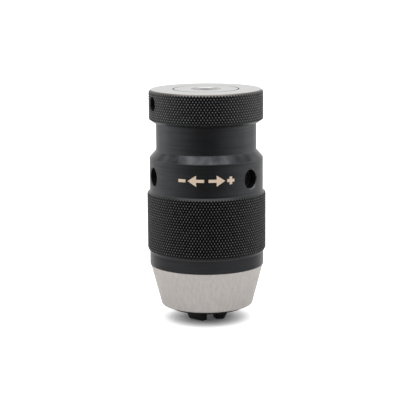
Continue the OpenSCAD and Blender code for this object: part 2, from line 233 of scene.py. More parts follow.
@dataclass(frozen=True)
class Finish:
    """A metal, oxide or rubber surface with marks, mottling, soft rubbing and a painted highlight on knurl
    crests.

    Args:
        name: The material's name.
        colour: The mean colour.
        metallic: How metallic the surface is.
        roughness: The mean roughness.
        lay: The direction of the machining marks.
        mark_pitch: Spacing of the marks, in millimetres.
        mark_depth: Height of the marks' bump, in millimetres.
        mottle: Share by which the colour varies over a few millimetres.
        gloss_change: How much the roughness varies.
        specular: Specular level of a surface that isn't metallic.
        crest_wear_and_highlight: Colour of the crests, lightened by handling and by a painted highlight, if
            the piece has a crest attribute.
        streak: Share by which broad streaks along the marks darken the colour.
        streak_pitch: Spacing of the streaks, in millimetres.
    """

    name: str
    colour: tuple[float, float, float]
    metallic: float = 1.0
    roughness: float = 0.35
    lay: Lay = Lay.NONE
    mark_pitch: float = 0.15
    mark_depth: float = 0.002
    mottle: float = 0.08
    gloss_change: float = 0.08
    specular: float = 0.5
    crest_wear_and_highlight: tuple[float, float, float] | None = None
    streak: float = 0.0
    streak_pitch: float = 1.0

    def place(self, graph: Graph) -> Socket:
        """Give the coordinates that the marks follow.

        Args:
            graph: The material's graph.

        Returns:
            A vector output that changes quickly across the marks and slowly along them.
        """
        where = graph.add("ShaderNodeTexCoord").outputs["Object"]
        if self.lay is Lay.FACE:
            parts = graph.add("ShaderNodeSeparateXYZ")
            graph.put(parts.inputs[0], where)
            slow = [graph.math("MULTIPLY", part, SLOW_ROUND) for part in parts.outputs[:2]]
            return graph.vector(*slow, graph.reach(where))
        scale = {Lay.ROUND: (SLOW_ROUND, SLOW_ROUND, 1.0), Lay.ALONG: (1.0, 1.0, SLOW_ALONG)}
        mapping = graph.add("ShaderNodeMapping")
        graph.feed(mapping, Vector=where, Scale=scale.get(self.lay, (1.0, 1.0, 1.0)))
        return mapping.outputs[0]

    def build(self) -> bpy.types.Material:
        """Build the material, once.

        Returns:
            The material.
        """
        name = f"{self.name}_finish"
        made = bpy.data.materials.get(name)
        if made:
            return made
        material = bpy.data.materials.new(name)
        material.use_nodes = True
        tree = material.node_tree
        graph = Graph(tree)
        shader = tree.nodes["Principled BSDF"]
        shader.inputs["Metallic"].default_value = self.metallic
        shader.inputs["Specular IOR Level"].default_value = self.specular
        where = graph.add("ShaderNodeTexCoord").outputs["Object"]
        marks = graph.noise(self.place(graph), 1.0 / (self.mark_pitch * MM), 3.0)
        cloud = graph.noise(where, CLOUD_SCALE, 4.0)
        tint = graph.add("ShaderNodeMix", data_type="RGBA")
        dark = tuple(c * (1.0 - self.mottle) for c in self.colour)
        light = tuple(min(1.0, c * (1.0 + self.mottle)) for c in self.colour)
        tint.inputs["A"].default_value = (*dark, 1.0)
        tint.inputs["B"].default_value = (*light, 1.0)
        broad = graph.math("MULTIPLY", cloud, CLOUD_SHARE)
        fine = graph.math("MULTIPLY", marks, 1.0 - CLOUD_SHARE)
        graph.put(tint.inputs["Factor"], graph.math("ADD", broad, fine))
        colour = tint.outputs["Result"]
        if self.streak:
            colour = self.streaked(graph, colour)
        if self.crest_wear_and_highlight:
            colour = self.paint_crest_wear_and_highlight(graph, colour, where)
        graph.put(shader.inputs["Base Color"], colour)
        change = graph.math("MULTIPLY", graph.math("SUBTRACT", cloud, 0.5), 2.0 * self.gloss_change)
        graph.put(shader.inputs["Roughness"], graph.math("ADD", change, self.roughness))
        bump = graph.add("ShaderNodeBump")
        graph.feed(bump, Strength=1.0, Distance=self.mark_depth * MM, Height=marks)
        graph.put(shader.inputs["Normal"], bump.outputs[0])
        return material

    def streaked(self, graph: Graph, colour: Socket) -> Socket:
        """Darken broad streaks that run along the marks.

        Args:
            graph: The material's graph.
            colour: The plain colour.

        Returns:
            The colour with streaks.
        """
        streaks = graph.noise(self.place(graph), 1.0 / (self.streak_pitch * MM))
        spread = graph.add("ShaderNodeMapRange")
        graph.feed(spread, Value=streaks, From_Min=0.35, From_Max=0.65)
        graph.feed(spread, To_Min=1.0 + self.streak, To_Max=1.0 - self.streak)
        scaled = graph.add("ShaderNodeVectorMath", operation="SCALE")
        graph.put(scaled.inputs[0], colour)
        graph.put(scaled.inputs["Scale"], spread.outputs[0])
        return scaled.outputs[0]

    def paint_crest_wear_and_highlight(self, graph: Graph, colour: Socket, where: Socket) -> Socket:
        """Lighten the crests, partly where handling has polished off the oxide and partly as a painted
        highlight.

        Args:
            graph: The material's graph.
            colour: The oxide's colour.
            where: The object coordinates.

        Returns:
            The colour with worn crests.
        """
        crest = graph.add("ShaderNodeAttribute", attribute_name="crest").outputs["Fac"]
        patches = graph.noise(where, PATCH_SCALE)
        # Painted highlight and handling: the crests are lightened towards the crest colour.
        rubbed_and_highlit = graph.math("MULTIPLY", graph.math("POWER", crest, 4.0), graph.math("ADD", patches, 0.3))
        mix = graph.add("ShaderNodeMix", data_type="RGBA")
        graph.put(mix.inputs["A"], colour)
        mix.inputs["B"].default_value = (*self.crest_wear_and_highlight, 1.0)
        graph.put(mix.inputs["Factor"], rubbed_and_highlit)
        return mix.outputs["Result"]


BLACK_OXIDE = Finish(
    "black_oxide", (0.062, 0.0632, 0.0665), 1.0, 0.33, Lay.ROUND, 0.12, 0.0014, 0.12, 0.05,
    streak=0.1, streak_pitch=0.8,
)
# Knurl finishes: their crest colour is partly handling and partly a painted highlight on the crests.
KNURL_OXIDE = Finish(
    "black_oxide_knurled", (0.0025, 0.0026, 0.003), 0.0, 0.28, Lay.NONE, 0.2, 0.002, 0.3, 0.05, 0.6,
    (0.2, 0.2, 0.205),
)
GRIP_OXIDE = Finish(
    "black_oxide_grip", (0.0022, 0.0022, 0.0025), 0.0, 0.28, Lay.NONE, 0.2, 0.002, 0.3, 0.05, 0.36,
    (0.15, 0.15, 0.154),
)
# A darker copy of the black oxide for the sleeve's lower band: painted shade.
LOW_OXIDE_PAINTED_SHADE = Finish(
    "black_oxide_low_painted_shade", (0.038, 0.0385, 0.0405), 1.0, 0.3, Lay.ROUND, 0.12, 0.0014, 0.12, 0.05,
    streak=0.1, streak_pitch=0.8,
)
# Cone finish: its broad dark streaks along the slope are painted reflections of softbox segments.
CONE_OXIDE_PAINTED_REFLECTION = Finish(
    "black_oxide_cone_painted_reflection", (0.05, 0.051, 0.055), 1.0, 0.3, Lay.ALONG, 1.2, 0.01, 0.2, 0.08,
    streak=0.4, streak_pitch=5.0,
)
DARK_OXIDE = Finish(
    "black_oxide_guide", (0.005, 0.005, 0.0054), 0.0, 0.5, Lay.FACE, 0.15, 0.002, 0.25, 0.06, 0.25,
)
JOINT_SHADOW = Finish("joint_shadow", (0.004, 0.004, 0.0042), 0.0, 0.6, Lay.FACE, 0.1, 0.001, 0.2, 0.05, 0.3)
# Lighter brownish-grey finish for the ring's top bevel: partly handled steel, partly a painted highlight.
RUBBED_EDGE_AND_HIGHLIGHT = Finish("rubbed_edge_and_highlight", (0.14, 0.13, 0.12), 1.0, 0.35, Lay.ROUND, 0.1, 0.001, 0.15, 0.05)
HOLE_EDGE = Finish("hole_edge", (0.12, 0.12, 0.122), 1.0, 0.38, Lay.NONE, 0.2, 0.002, 0.2, 0.06)
GROUND_FACE = Finish("ground_face", (0.6, 0.592, 0.585), 1.0, 0.3, Lay.FACE, 0.07, 0.0012, 0.04, 0.05)
BORE_STEEL = Finish("ground_bore", (0.82, 0.815, 0.81), 1.0, 0.45, Lay.ROUND, 0.06, 0.0008, 0.05, 0.05)
SATIN_STEEL = Finish(
    "satin_nose", (0.612, 0.576, 0.549), 1.0, 0.4, Lay.ALONG, 0.11, 0.0045, 0.055, 0.04,
    streak=0.055, streak_pitch=0.75,
)
JAW_STEEL = Finish("jaw_steel", (0.013, 0.013, 0.0135), 0.0, 0.4, Lay.ALONG, 0.1, 0.002, 0.3, 0.06, 0.5)
LAND_STEEL = Finish("jaw_land", (0.42, 0.41, 0.4), 1.0, 0.3, Lay.ROUND, 0.08, 0.0015, 0.08, 0.05)
SCREW_STEEL = Finish("screw_steel", (0.42, 0.415, 0.41), 1.0, 0.32, Lay.ROUND, 0.1, 0.0015, 0.08, 0.06)
RACE_STEEL = Finish("race_steel", (0.62, 0.615, 0.6), 1.0, 0.18, Lay.FACE, 0.05, 0.0005, 0.04, 0.03)
BALL_STEEL = Finish("ball_steel", (0.75, 0.75, 0.76), 1.0, 0.08, Lay.NONE, 0.3, 0.0002, 0.02, 0.02)
CAGE_BRASS = Finish("cage_brass", (0.72, 0.5, 0.2), 1.0, 0.3, Lay.FACE, 0.1, 0.001, 0.08, 0.06)
BUSH_BRONZE = Finish("bush_bronze", (0.55, 0.32, 0.15), 1.0, 0.45, Lay.NONE, 0.12, 0.003, 0.15, 0.08)
SEAL_RUBBER = Finish("seal_rubber", (0.012, 0.012, 0.012), 0.0, 0.7, Lay.NONE, 0.25, 0.004, 0.2, 0.06, 0.4)
LASER_TAN = Finish("laser_mark", (0.82, 0.66, 0.51), 0.0, 0.6, Lay.NONE, 0.1, 0.002, 0.12, 0.06, 0.3)
DOWEL_STEEL = Finish("dowel_steel", (0.6, 0.59, 0.58), 1.0, 0.2, Lay.ALONG, 0.08, 0.0006, 0.05, 0.04)


# ---- Meshes


@dataclass(frozen=True)
class Corner:
    """A corner of a half section.

    Args:
        r: Radius, in millimetres.
        z: Height, in millimetres.
        soft: Size of the rounding there.
    """

    r: float
    z: float
    soft: float = 0.0


def outline(corners: Sequence[Corner], steps: int = 4) -> list[Point]:
    """Turn corners into points, with each soft corner as a short curve.

    Args:
        corners: The closed outline's corners, in order.
        steps: Pieces in each curve.

    Returns:
        The outline's points.
    """
    points: list[Point] = []
    count = len(corners)
    for i, corner in enumerate(corners):
        here = Vector((corner.r, corner.z))
        if corner.soft <= 0.0:
            points.append((here.x, here.y))
            continue
        before = Vector((corners[i - 1].r, corners[i - 1].z)) - here
        after = Vector((corners[(i + 1) % count].r, corners[(i + 1) % count].z)) - here
        reach = min(corner.soft, before.length / 2.01, after.length / 2.01)
        start = here + before.normalized() * reach
        end = here + after.normalized() * reach
        for k in range(steps + 1):
            t = k / steps
            point = start * (1 - t) ** 2 + here * (2 * t * (1 - t)) + end * t**2
            points.append((point.x, point.y))
    return points


def turned(section: Sequence[Point], segments: int = SEGMENTS) -> bmesh.types.BMesh:
    """Revolve a closed half section about the Z axis.

    Args:
        section: Points of radius and height, in millimetres. Points at radius zero close on the axis.
        segments: Number of steps round the axis.

    Returns:
        A closed solid, in metres.
    """
    solid = bmesh.new()
    rings: list[list[bmesh.types.BMVert]] = []
    angles = [2 * math.pi * k / segments for k in range(segments)]
    for r, z in section:
        if r < 1e-6:
            rings.append([solid.verts.new((0.0, 0.0, z * MM))] * segments)
            continue
        rings.append([solid.verts.new((r * MM * math.cos(a), r * MM * math.sin(a), z * MM)) for a in angles])
    for ring, other in zip(rings, rings[1:] + rings[:1]):
        for k in range(segments):
            corners = [ring[k], ring[(k + 1) % segments], other[(k + 1) % segments], other[k]]
            loop = list(dict.fromkeys(corners))
            if len(loop) > 2:
                solid.faces.new(loop)
    bmesh.ops.recalc_face_normals(solid, faces=solid.faces)
    return solid


def make_object(name: str, solid: bmesh.types.BMesh) -> bpy.types.Object:
    """Turn a bmesh into an object at the origin.

    Args:
        name: The object's name.
        solid: The bmesh, which is freed.

    Returns:
        The object.
    """
    mesh = bpy.data.meshes.new(name)
    solid.to_mesh(mesh)
    solid.free()
    made = bpy.data.objects.new(name, mesh)
    bpy.context.scene.collection.objects.link(made)
    return made


def settle(made: bpy.types.Object) -> bpy.types.Object:
    """Apply an object's modifiers to its mesh and remove them.

    Args:
        made: The object.

    Returns:
        The same object with a plain mesh.
    """
    graph = bpy.context.evaluated_depsgraph_get()
    mesh = bpy.data.meshes.new_from_object(made.evaluated_get(graph), depsgraph=graph)
    old = made.data
    made.modifiers.clear()
    made.data = mesh
    mesh.name = made.name
    bpy.data.meshes.remove(old)
    return made


def cut(made: bpy.types.Object, tools: Iterable[bpy.types.Object]) -> bpy.types.Object:
    """Cut tools out of a closed solid.

    Args:
        made: The solid.
        tools: Closed solids, which are removed afterwards.

    Returns:
        The cut solid.
    """
    spent = list(tools)
    for tool in spent:
        step = made.modifiers.new("cut", "BOOLEAN")
        step.operation = "DIFFERENCE"
        step.solver = "MANIFOLD"
        step.object = tool
    settle(made)
    for tool in spent:
        bpy.data.objects.remove(tool)
    return made


def shade(made: bpy.types.Object, degrees: float = 28.0) -> None:
    """Shade an object smooth, apart from edges sharper than an angle.

    Args:
        made: The object.
        degrees: The angle past which an edge stays sharp.
    """
    made.data.shade_smooth()
    made.data.set_sharp_from_angle(angle=math.radians(degrees))


def measure(items: bpy.types.bpy_prop_collection, key: str) -> tuple[np.ndarray, np.ndarray]:
    """Measure how far vertices or faces are from the axis, and how high.

    Args:
        items: A mesh's vertices or polygons.
        key: Name of the property that holds their place.

    Returns:
        Distances from the axis and heights, in millimetres.
    """
    places = np.empty(len(items) * 3, np.float32)
    items.foreach_get(key, places)
    places = places.reshape(-1, 3) / MM
    return np.hypot(places[:, 0], places[:, 1]), places[:, 2]


def dress(made: bpy.types.Object, base: Finish, *areas: tuple[Finish, np.ndarray]) -> None:
    """Give an object its finishes.

    Args:
        made: The object.
        base: The finish of every face that no area takes.
        areas: Further finishes, each with a mask of its faces. A later area wins.
    """
    made.data.materials.clear()
    which = np.zeros(len(made.data.polygons), np.int32)
    made.data.materials.append(base.build())
    for index, (finish, faces) in enumerate(areas, 1):
        made.data.materials.append(finish.build())
        which[faces] = index
    made.data.polygons.foreach_set("material_index", which)


def stand_for(made: bpy.types.Object, node: str, body: str) -> None:
    """Let a finished piece stand for a CAD node.

    Args:
        made: The piece.
        node: The CAD node that it replaces.
        body: The body that it rides on.
    """
    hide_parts(node)
    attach(made, body)
    LOG.info("%s: %d faces, stands for %s", made.name, len(made.data.polygons), node)


# ---- Knurling


@dataclass
class Knurl:
    """Diamond knurling on a cylinder, made as the tool that cuts it.

    Args:
        name: Name of the tool.
        radius: Radius over the crests.
        top: Height where the first row of teeth is.
        bottom: Height that the last row passes.
        teeth: Teeth round the cylinder.
        period: Axial distance between teeth in line.
        depth: Depth of the grooves.
        flat: Share of the depth that the crests lose to the turned blank.
        margin: How far the tool reaches outside the crests.
    """

    name: str
    radius: float
    top: float
    bottom: float
    teeth: int = 120
    period: float = 2.2
    depth: float = 0.5
    flat: float = 0.32
    margin: float = 1.5

    @property
    def root(self) -> float:
        """Radius at the bottom of the grooves."""
        return self.radius - self.depth

    @property
    def rows(self) -> int:
        """Rows of teeth, half a period apart."""
        return math.ceil((self.top - self.bottom) / (self.period / 2)) + 1

    def tree(self) -> bpy.types.GeometryNodeTree:
        """Build the node group that lays the teeth round the cylinder.

        Returns:
            The node group, with named inputs for its sizes.
        """
        group = bpy.data.node_groups.get("knurl_teeth")
        if group:
            return group
        group = bpy.data.node_groups.new("knurl_teeth", "GeometryNodeTree")
        kinds = {
            "Geometry": "Geometry", "Teeth": "Int", "Rows": "Int", "Root Radius": "Float",
            "Tooth Height": "Float", "Period": "Float", "Top": "Float", "Material": "Material",
        }
        for name, kind in kinds.items():
            group.interface.new_socket(name, in_out="INPUT", socket_type=f"NodeSocket{kind}")
        group.interface.new_socket("Geometry", in_out="OUTPUT", socket_type="NodeSocketGeometry")
        graph = Graph(group)
        given = graph.add("NodeGroupInput").outputs
        teeth, rows, root = given["Teeth"], given["Rows"], given["Root Radius"]
        points = graph.add("GeometryNodePoints")
        graph.feed(points, Count=graph.math("MULTIPLY", teeth, rows))
        index = graph.add("GeometryNodeInputIndex").outputs[0]
        row = graph.math("FLOOR", graph.math("DIVIDE", graph.math("ADD", index, 0.5), teeth))
        column = graph.math("SUBTRACT", index, graph.math("MULTIPLY", row, teeth))
        shift = graph.math("MULTIPLY", graph.math("MODULO", row, 2.0), 0.5)
        turn = graph.math("DIVIDE", math.tau, teeth)
        angle = graph.math("MULTIPLY", graph.math("ADD", column, shift), turn)
        half = graph.math("MULTIPLY", given["Period"], 0.5)
        x = graph.math("MULTIPLY", root, graph.math("COSINE", angle))
        y = graph.math("MULTIPLY", root, graph.math("SINE", angle))
        z = graph.math("SUBTRACT", given["Top"], graph.math("MULTIPLY", row, half))
        graph.feed(points, Position=graph.vector(x, y, z))
        tooth = graph.add("GeometryNodeMeshCone", fill_type="NONE")
        graph.feed(tooth, Vertices=4, Radius_Top=0.0, Radius_Bottom=1.0, Depth=1.0)
        half_turn = graph.math("TANGENT", graph.math("MULTIPLY", turn, 0.5))
        size = graph.vector(half, graph.math("MULTIPLY", root, half_turn), given["Tooth Height"])
        shaped = graph.add("GeometryNodeTransform")
        graph.feed(shaped, Geometry=tooth.outputs["Mesh"], Scale=size)
        laid = graph.add("GeometryNodeTransform")
        graph.feed(laid, Geometry=shaped.outputs[0], Rotation=(0.0, math.pi / 2, 0.0))
        spread = graph.add("GeometryNodeInstanceOnPoints")
        spin = graph.vector(0.0, 0.0, angle)
        graph.feed(spread, Points=points.outputs[0], Instance=laid.outputs[0], Rotation=spin)
        real = graph.add("GeometryNodeRealizeInstances")
        graph.feed(real, Geometry=spread.outputs[0])
        weld = graph.add("GeometryNodeMergeByDistance")
        graph.feed(weld, Geometry=real.outputs[0], Distance=0.00003)
        painted = graph.add("GeometryNodeSetMaterial")
        graph.feed(painted, Geometry=weld.outputs[0], Material=given["Material"])
        graph.put(graph.add("NodeGroupOutput").inputs[0], painted.outputs[0])
        return group

    def teeth_surface(self) -> bpy.types.Object:
        """Lay out the teeth as one surface, with every groove between them.

        Returns:
            The surface as an object with a plain mesh.
        """
        made = make_object(self.name, bmesh.new())
        group = self.tree()
        modifier = made.modifiers.new("teeth", "NODES")
        modifier.node_group = group
        sharp = self.depth * (1.0 + self.flat)
        values = {
            "Teeth": self.teeth, "Rows": self.rows, "Root Radius": self.root * MM,
            "Tooth Height": sharp * MM, "Period": self.period * MM, "Top": self.top * MM,
            "Material": KNURL_OXIDE.build(),
        }
        for item in group.interface.items_tree:
            if item.in_out == "INPUT" and item.name in values:
                modifier[item.identifier] = values[item.name]
        return settle(made)

    def tool(self) -> bpy.types.Object:
        """Close the teeth's surface into a tube that cuts everything outside it.

        Returns:
            The cutting tool.
        """
        made = self.teeth_surface()
        work = bmesh.new()
        work.from_mesh(made.data)
        rim = [e for e in work.edges if e.is_boundary]
        grown = bmesh.ops.extrude_edge_only(work, edges=rim)["geom"]
        outside = (self.radius + self.margin) * MM
        for vert in (g for g in grown if isinstance(g, bmesh.types.BMVert)):
            reach = math.hypot(vert.co.x, vert.co.y)
            vert.co.x *= outside / reach
            vert.co.y *= outside / reach
        open_edges = [e for e in work.edges if e.is_boundary]
        bmesh.ops.bridge_loops(work, edges=open_edges)
        bmesh.ops.recalc_face_normals(work, faces=work.faces)
        work.to_mesh(made.data)
        work.free()
        return made

    def mark_crests(self, made: bpy.types.Object) -> None:
        """Store how near each vertex is to the crests, for the finish's crest lightening: handling and a
        painted highlight.

        Args:
            made: The knurled piece.
        """
        r, z = measure(made.data.vertices, "co")
        crest = np.clip((r - self.root) / self.depth, 0.0, 1.0)
        crest[(z > self.top) | (z < self.bottom)] = 0.0
        layer = made.data.attributes.new("crest", "FLOAT", "POINT")
        layer.data.foreach_set("value", crest.astype(np.float32))


@dataclass(frozen=True)
class RadialHole:
    """A round blind hole that points at the axis, with a bevelled mouth.

    Args:
        diameter: The hole's diameter.
        floor: Radius of the hole's floor.
        surface: Radius of the surface that it starts from.
        z: Height of its centre.
        bevel: Width of the bevel.
        floor_ease: Size of the bevel round the floor.
        margin: How far the tool reaches outside the surface.
    """

    diameter: float
    floor: float
    surface: float
    z: float
    bevel: float
    floor_ease: float = 0.3
    margin: float = 2.0

    def tool(self, degrees: float) -> bpy.types.Object:
        """Make the tool that cuts the hole.

        Args:
            degrees: Direction of the hole from +X.

        Returns:
            The tool.
        """
        hole_r = self.diameter / 2
        top = self.surface + self.margin
        section = [
            (0.0, self.floor), (hole_r - self.floor_ease, self.floor),
            (hole_r, self.floor + self.floor_ease), (hole_r, self.surface - self.bevel),
            (hole_r + self.bevel + self.margin, top), (0.0, top),
        ]
        solid = turned(section, DRILL_SEGMENTS)
        lay = Matrix.Rotation(math.radians(degrees), 4, "Z") @ Matrix.Rotation(math.pi / 2, 4, "Y")
        lift = Matrix.Translation((0.0, 0.0, self.z * MM))
        bmesh.ops.transform(solid, matrix=lift @ lay, verts=solid.verts)
        return make_object("drill", solid)

    def walls(self, radius: np.ndarray, height: np.ndarray) -> np.ndarray:
        """Find the faces of the hole's wall, floor and bevel.

        Args:
            radius: Distances of the faces from the axis.
            height: Heights of the faces.

        Returns:
            A mask of the faces below the surface, within the hole's height.
        """
        beside = abs(height - self.z) < self.diameter / 2 + self.bevel
        return beside & (radius > self.floor - SLACK) & (radius < self.surface - SLACK / 5)


# ---- Pieces


def extent(node: str) -> tuple[float, float, float]:
    """Measure a turned CAD node.

    Args:
        node: The node's name.

    Returns:
        Its outer radius, lowest height and highest height, in millimetres.
    """
    low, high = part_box(node)
    return round(max(high.x, high.y) / MM, 3), round(low.z / MM, 3), round(high.z / MM, 3)


def refinish(node: str, finish: Finish) -> None:
    """Give a CAD node that stays in view a better finish.

    Args:
        node: The node's name.
        finish: Its finish.
    """
    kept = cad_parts[node]
    for slot in kept.material_slots:
        slot.material = finish.build()
    LOG.info("%s keeps its CAD shape, finish %s", node, finish.name)


@dataclass
class RearRing:
    """The knurled ring at the rear, fixed on the body, with its pin hole."""

    seat_r: float = 13.725
    joint: float = 0.28
    top_bevel: float = 0.94
    low_bevel_h: float = 1.36
    low_bevel_w: float = 1.85
    recess_r: float = 21.35
    recess_h: float = 1.36
    hole_d: float = 6.0
    hole_depth: float = 7.5
    hole_drop: float = 5.4
    hole_azimuth: float = -159.0
    hole_bevel: float = 0.3
    groove: float = 0.5
    teeth: int = 112
    period: float = 2.08
    knurl_over: float = 1.1
    knurl_under: float = 1.0
    ground_skin: float = 0.06
    rubbed_highlit_h: float = 0.52

    def section(self, r: float, low: float) -> list[Point]:
        """Draw the ring's half section.

        Args:
            r: Outer radius.
            low: Height of its underside.

        Returns:
            The closed outline.
        """
        recess_z = low + self.recess_h
        return outline([
            Corner(self.seat_r, -self.joint),
            Corner(self.seat_r + self.joint, 0.0, 0.04),
            Corner(r - self.top_bevel, 0.0, 0.1),
            Corner(r, -self.top_bevel, 0.12),
            Corner(r, low + self.low_bevel_h, 0.15),
            Corner(r - self.low_bevel_w, low, 0.15),
            Corner(self.recess_r + 0.15, low),
            Corner(self.recess_r, low + 0.15),
            Corner(self.recess_r, recess_z),
            Corner(self.seat_r, recess_z),
        ])

    def build(self) -> None:
        """Turn, knurl, drill and dress the ring."""
        r, low, _ = extent("hood_ring")
        knurl = Knurl(
            "ring_knurl", r, self.knurl_over, low - self.knurl_under, self.teeth, self.period, self.groove
        )
        hole = RadialHole(self.hole_d, r - self.hole_depth, r, -self.hole_drop, self.hole_bevel)
        blank = make_object("rear_ring", turned(self.section(r, low), self.teeth * 3))
        made = cut(blank, [knurl.tool(), hole.tool(self.hole_azimuth)])
        shade(made)
        knurl.mark_crests(made)
        radius, height = measure(made.data.polygons, "center")
        under = height < -self.ground_skin
        knurled = (radius > knurl.root - SLACK) & (height > low + SLACK)
        # The top bevel: partly handled steel, partly a painted highlight.
        rubbed_and_highlit = under & (height > -self.rubbed_highlit_h) & (radius > r - self.top_bevel - SLACK)
        sunk = hole.walls(radius, height) & (radius < knurl.root - SLACK)
        joint = under & (height > -1.0) & (radius < self.seat_r + self.joint)
        dress(
            made, BLACK_OXIDE, (KNURL_OXIDE, knurled), (GROUND_FACE, ~under), (RUBBED_EDGE_AND_HIGHLIGHT, rubbed_and_highlit),
            (JOINT_SHADOW, sunk | joint),
        )
        stand_for(made, "hood_ring", Part.BODY.value)


@dataclass
class ChuckBody:
    """The steel body, with the ground rear face and the taper bore."""

    mouth_r: float = 6.0325
    mouth_bevel: float = 0.3
    bore_depth: float = 18.5
    bore_taper: float = 0.04988
    tip_drop: float = 3.35
    seat_r: float = 13.725
    joint: float = 0.28
    seat_end: float = -12.3
    journal_r: float = 14.325
    flange_z: float = -25.88
    screw_bore_top: float = -26.15
    screw_bore_r: float = 8.05
    ground_skin: float = 0.01

    def section(self, r: float, low: float) -> list[Point]:
        """Draw the body's half section.

        Args:
            r: Outer radius of the flange.
            low: Height of its lower end.

        Returns:
            The closed outline.
        """
        small_r = self.mouth_r - self.bore_taper * self.bore_depth / 2
        tip = -self.bore_depth - self.tip_drop
        return outline([
            Corner(self.mouth_r + self.mouth_bevel, 0.0, 0.05),
            Corner(self.seat_r - self.joint, 0.0, 0.04),
            Corner(self.seat_r, -self.joint),
            Corner(self.seat_r, self.seat_end),
            Corner(self.journal_r, self.seat_end, 0.1),
            Corner(self.journal_r, self.flange_z, 0.1),
            Corner(r, self.flange_z, 0.15),
            Corner(r, low + 0.6, 0.1),
            Corner(r - 0.6, low, 0.1),
            Corner(self.screw_bore_r + 0.8, low, 0.1),
            Corner(self.screw_bore_r, low + 0.8, 0.1),
            Corner(self.screw_bore_r, self.screw_bore_top),
            Corner(0.0, self.screw_bore_top),
            Corner(0.0, tip),
            Corner(small_r, -self.bore_depth, 0.1),
            Corner(self.mouth_r - self.bore_taper * self.mouth_bevel / 2, -self.mouth_bevel, 0.04),
        ])

    def build(self) -> None:
        """Turn and dress the body."""
        r, low, _ = extent("chuck_body")
        made = make_object("chuck_core", turned(self.section(r, low)))
        shade(made)
        radius, height = measure(made.data.polygons, "center")
        under = height < -self.ground_skin
        bore = under & (radius < self.mouth_r + SLACK / 5) & (height > -self.bore_depth - self.tip_drop)
        joint = under & (radius > self.seat_r - self.joint) & (height > -1.0)
        dress(made, SCREW_STEEL, (GROUND_FACE, ~under), (BORE_STEEL, bore), (JOINT_SHADOW, joint))
        stand_for(made, "chuck_body", Part.BODY.value)


@dataclass
class GripSleeve:
    """The black sleeve: neck, smooth band with pin holes, knurled grip and lower band."""

    bush_r: float = 15.855
    neck_r: float = 21.05
    neck_end: float = -25.36
    band_r: float = 23.85
    band_top: float = -28.56
    band_end: float = -42.46
    grip_top: float = -43.66
    grip_end: float = -66.9
    lower_r: float = 24.1
    lower_top: float = -68.5
    spigot_r: float = 21.9
    spigot_top: float = -66.1
    cavity_r: float = 20.6
    step_z: float = -41.26
    chamber_r: float = 19.1
    shoulder_z: float = -20.0
    hole_d: float = 7.8
    hole_drop: float = 7.3
    hole_floor: float = 19.95
    hole_bevel: float = 0.6
    hole_azimuths: tuple[float, ...] = (-39.0, 81.0, 201.0)
    groove: float = 0.55
    teeth: int = 120
    period: float = 2.2
    knurl_over: float = 0.2
    knurl_under: float = 0.4

    def section(self, r: float, low: float, top: float) -> list[Point]:
        """Draw the sleeve's half section.

        Args:
            r: Radius over the knurl.
            low: Height of its lower end.
            top: Height of its upper end.

        Returns:
            The closed outline.
        """
        return outline([
            Corner(self.bush_r, top),
            Corner(self.neck_r, top, 0.3),
            Corner(self.neck_r, self.neck_end, 0.25),
            Corner(self.band_r, self.band_top, 0.3),
            Corner(self.band_r, self.band_end, 0.15),
            Corner(r, self.grip_top, 0.12),
            Corner(r, self.grip_end, 0.15),
            Corner(self.lower_r, self.lower_top, 0.3),
            Corner(self.lower_r, low, 0.12),
            Corner(self.spigot_r, low),
            Corner(self.spigot_r, self.spigot_top),
            Corner(self.cavity_r, self.spigot_top),
            Corner(self.cavity_r, self.step_z),
            Corner(self.chamber_r, self.step_z),
            Corner(self.chamber_r, self.shoulder_z),
            Corner(self.bush_r, self.shoulder_z),
        ])

    def build(self) -> None:
        """Turn, knurl, drill and dress the sleeve."""
        r, low, top = extent("sleeve")
        start, stop = self.band_end + self.knurl_over, self.lower_top - self.knurl_under
        knurl = Knurl("grip_knurl", r, start, stop, self.teeth, self.period, self.groove)
        hole_z = self.band_top - self.hole_drop
        hole = RadialHole(self.hole_d, self.hole_floor, self.band_r, hole_z, self.hole_bevel)
        blank = make_object("grip_sleeve", turned(self.section(r, low, top), self.teeth * 3))
        made = cut(blank, [knurl.tool(), *(hole.tool(azimuth) for azimuth in self.hole_azimuths)])
        shade(made)
        knurl.mark_crests(made)
        radius, height = measure(made.data.polygons, "center")
        knurled = (radius > knurl.root - SLACK) & (height < self.band_end)
        sloped = (height > self.band_top + SLACK / 2) & (height < self.neck_end - SLACK / 2)
        # The cone gets painted reflection streaks.
        cone = sloped & (radius > self.neck_r + SLACK / 2)
        sunk = hole.walls(radius, height)
        edge = sunk & (radius > self.band_r - self.hole_bevel)
        # The lower band is painted shade: a darker copy of the black oxide.
        lower = (height < self.lower_top) & (radius > self.spigot_r + SLACK)
        dress(
            made, BLACK_OXIDE, (GRIP_OXIDE, knurled), (CONE_OXIDE_PAINTED_REFLECTION, cone), (JOINT_SHADOW, sunk),
            (HOLE_EDGE, edge), (LOW_OXIDE_PAINTED_SHADE, lower),
        )
        stand_for(made, "sleeve", Part.SLEEVE.value)


